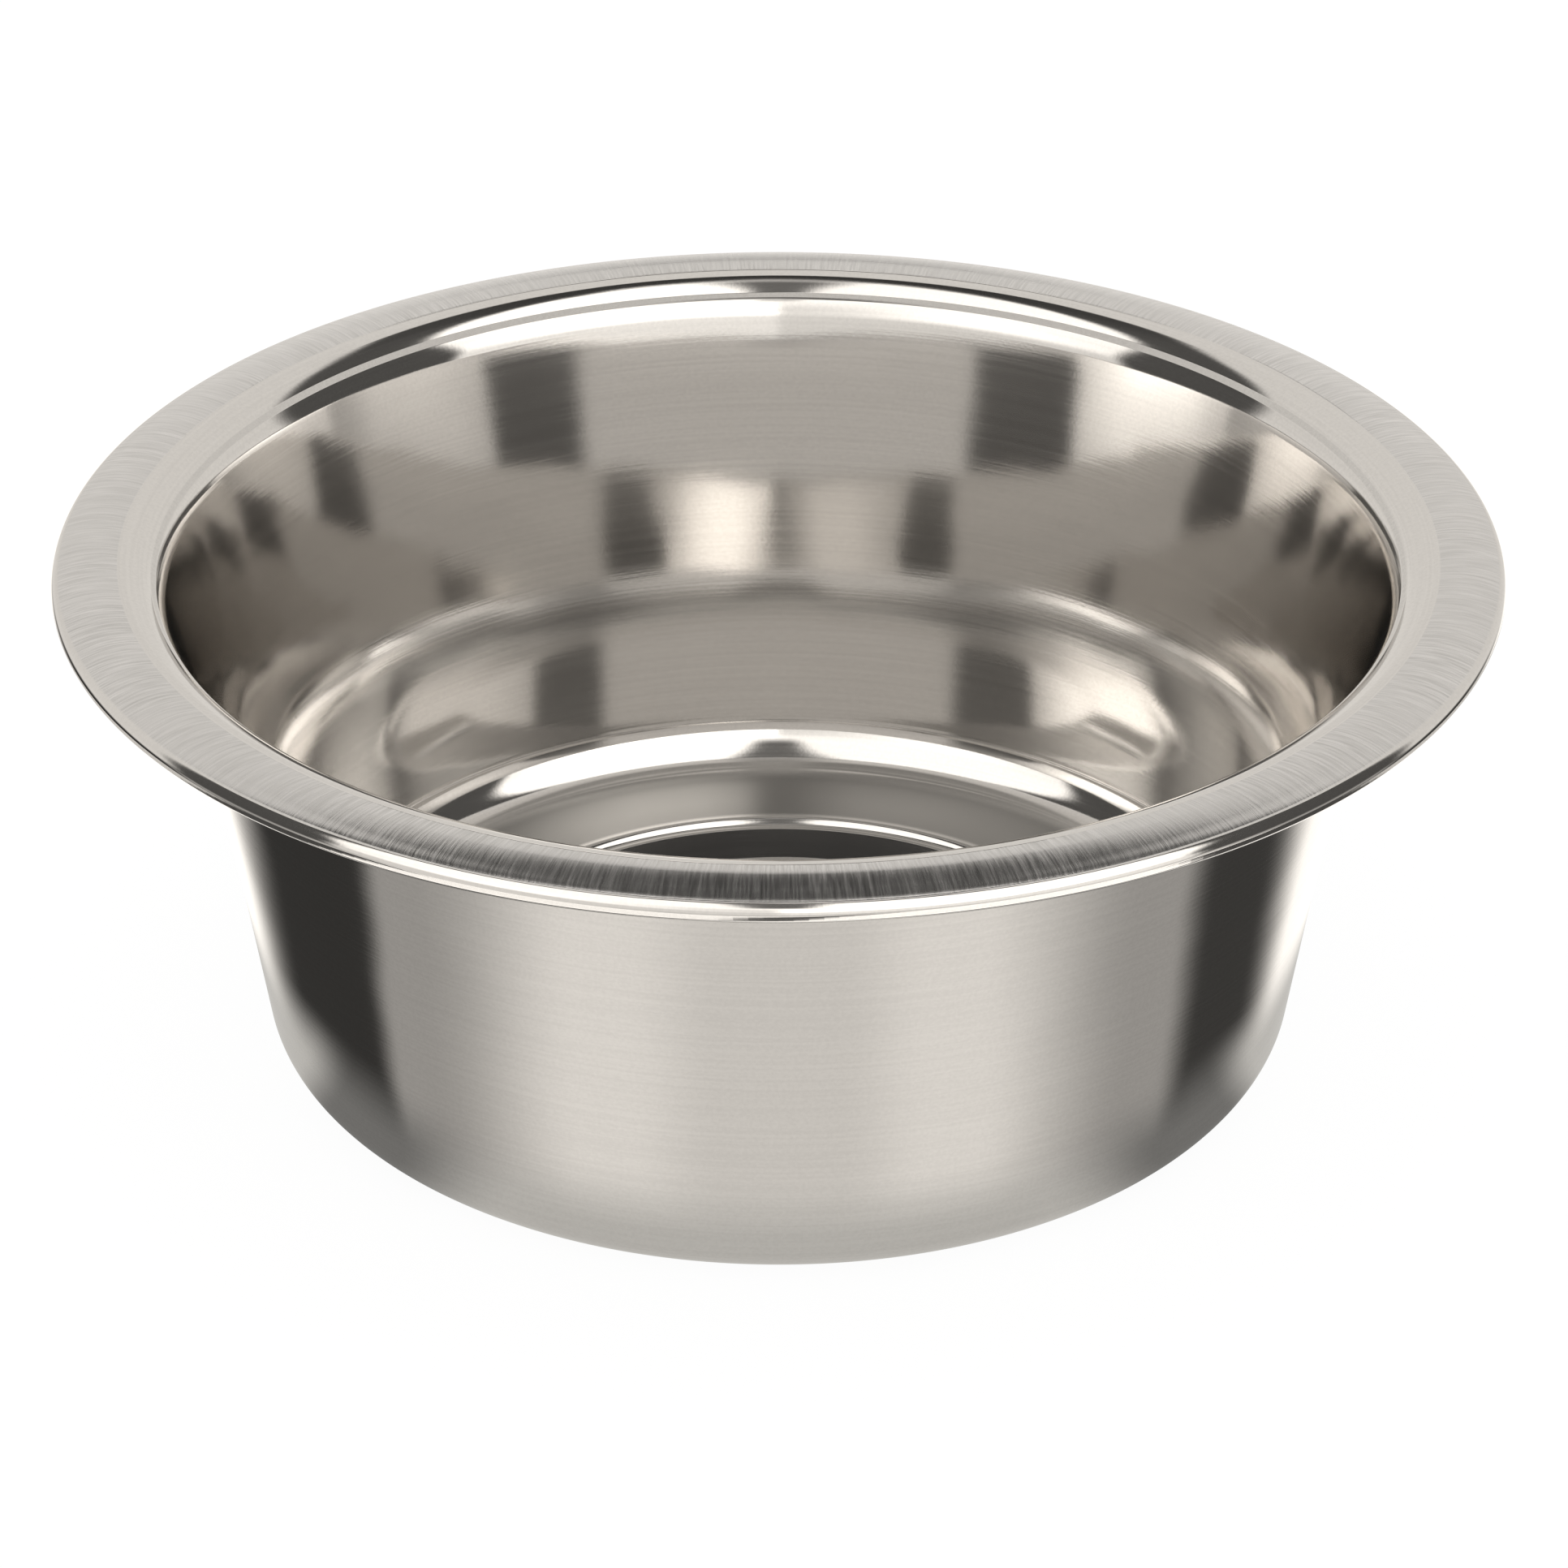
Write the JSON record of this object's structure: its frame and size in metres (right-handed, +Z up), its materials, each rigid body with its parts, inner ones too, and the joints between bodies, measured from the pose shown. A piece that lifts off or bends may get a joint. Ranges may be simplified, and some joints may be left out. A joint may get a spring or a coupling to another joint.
{
  "type": "stainless steel dog bowl",
  "caption": "Deep stainless steel feeding bowl with a flaring wall, a crowned satin brim and a hollow rolled edge, for a dog's food or water.",
  "frame": {"origin": "middle of the foot's underside, on the surface that the bowl stands on", "axes": "+Z up along the bowl's axis, X and Y level and alike all round"},
  "size_m": [0.25, 0.25, 0.0949],
  "materials": {
    "stainless": "polished inside and out, with a satin brim"
  },
  "bodies": {
    "root": {"bowl": "stainless"}
  },
  "joints": []
}
